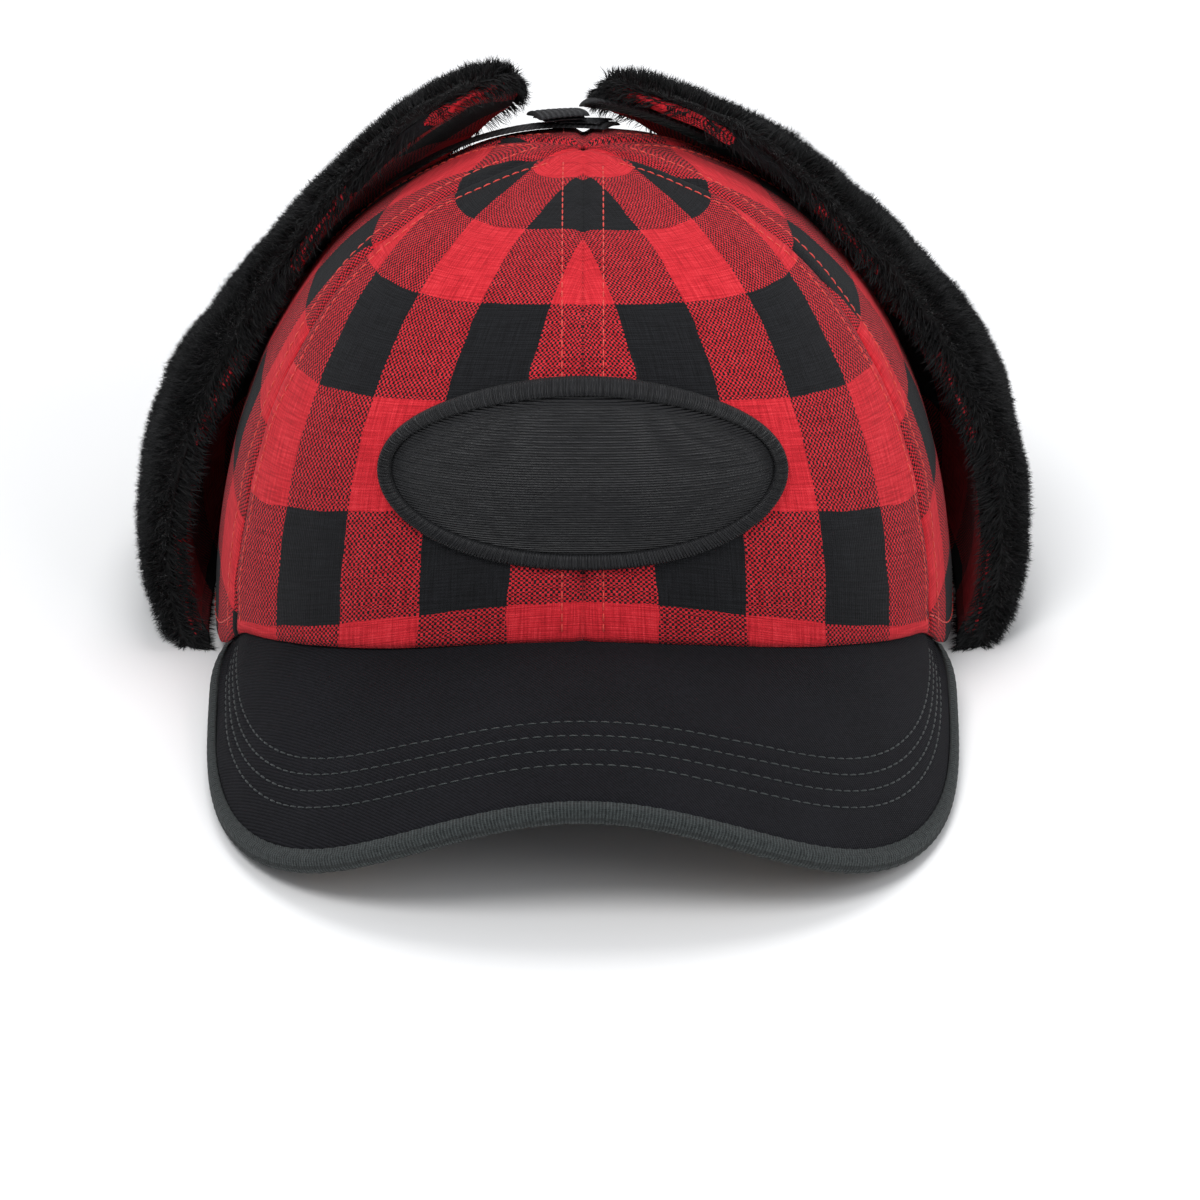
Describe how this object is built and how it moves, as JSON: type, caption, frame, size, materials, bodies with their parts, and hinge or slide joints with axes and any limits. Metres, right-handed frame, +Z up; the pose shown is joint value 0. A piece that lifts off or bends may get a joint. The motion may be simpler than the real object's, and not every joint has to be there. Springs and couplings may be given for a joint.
{
  "type": "trapper hat",
  "caption": "Brimmed checked cloth cap with a domed gored crown and fur-lined ear and neck flaps folded up round it and joined by a strap over the top.",
  "frame": {"origin": "centre of the head opening, on the plane that the cap stands on", "axes": "+Z up, the brim points to -Y, and the wearer's left is +X"},
  "size_m": [0.2168, 0.2756, 0.1401],
  "materials": {
    "check_cloth": "red and black checked cotton flannel",
    "stiffener": "stiffened open-weave buckram",
    "tape": "black woven tape",
    "sweatband": "black cotton twill band",
    "brim_cloth": "black cotton twill",
    "brim_board": "flexible moulded board",
    "under_cloth": "printed cotton in tan, brown and near-black",
    "binding": "ribbed woven edge tape",
    "embroidery": "raised black embroidery",
    "padding": "polyester wadding",
    "fur": "short black faux fur",
    "webbing": "black ribbed webbing",
    "hook_loop": "hook and loop tape"
  },
  "bodies": {
    "crown": {"front_left_panel": "check_cloth", "side_left_panel": "check_cloth", "rear_left_panel": "check_cloth", "rear_right_panel": "check_cloth", "side_right_panel": "check_cloth", "front_right_panel": "check_cloth", "front_left_stiffener": "stiffener", "front_right_stiffener": "stiffener", "seam_tape_front": "tape", "seam_tape_front_left": "tape", "seam_tape_rear_left": "tape", "seam_tape_rear": "tape", "seam_tape_rear_right": "tape", "seam_tape_front_right": "tape", "sweatband": "sweatband", "brim_top_cover": "brim_cloth", "brim_board": "brim_board", "brim_under_cover": "under_cloth", "brim_binding": "binding", "badge_field": "embroidery", "badge_border": "embroidery"},
    "left_flap": {"left_flap_shell": "check_cloth", "left_flap_padding": "padding", "left_flap_fur": "fur", "strap_sewn_end": "webbing"},
    "right_flap": {"right_flap_shell": "check_cloth", "right_flap_padding": "padding", "right_flap_fur": "fur", "closure_tab": "webbing", "closure_loop_pad": "hook_loop"},
    "neck_flap": {"neck_flap_shell": "check_cloth", "neck_flap_padding": "padding", "neck_flap_fur": "fur"},
    "strap": {"strap_webbing": "webbing", "strap_hook_pad": "hook_loop"}
  },
  "joints": [
    {"name": "left_flap_fold", "type": "hinge", "parent": "crown", "child": "left_flap", "pos_m": [0.0788, 0.027, 0], "axis": [-0.2056, 0.9786, 0], "range_deg": [0, 170]},
    {"name": "right_flap_fold", "type": "hinge", "parent": "crown", "child": "right_flap", "pos_m": [-0.0788, 0.027, 0], "axis": [-0.2056, -0.9786, 0], "range_deg": [0, 170]},
    {"name": "neck_flap_fold", "type": "hinge", "parent": "crown", "child": "neck_flap", "pos_m": [0, 0.09, 0], "axis": [-1, 0, 0], "range_deg": [0, 165]},
    {"name": "strap_peel", "type": "hinge", "parent": "left_flap", "child": "strap", "pos_m": [0.0004, 0.0195, 0.126], "axis": [-0.2056, 0.9786, 0], "range_deg": [0, 80]}
  ]
}
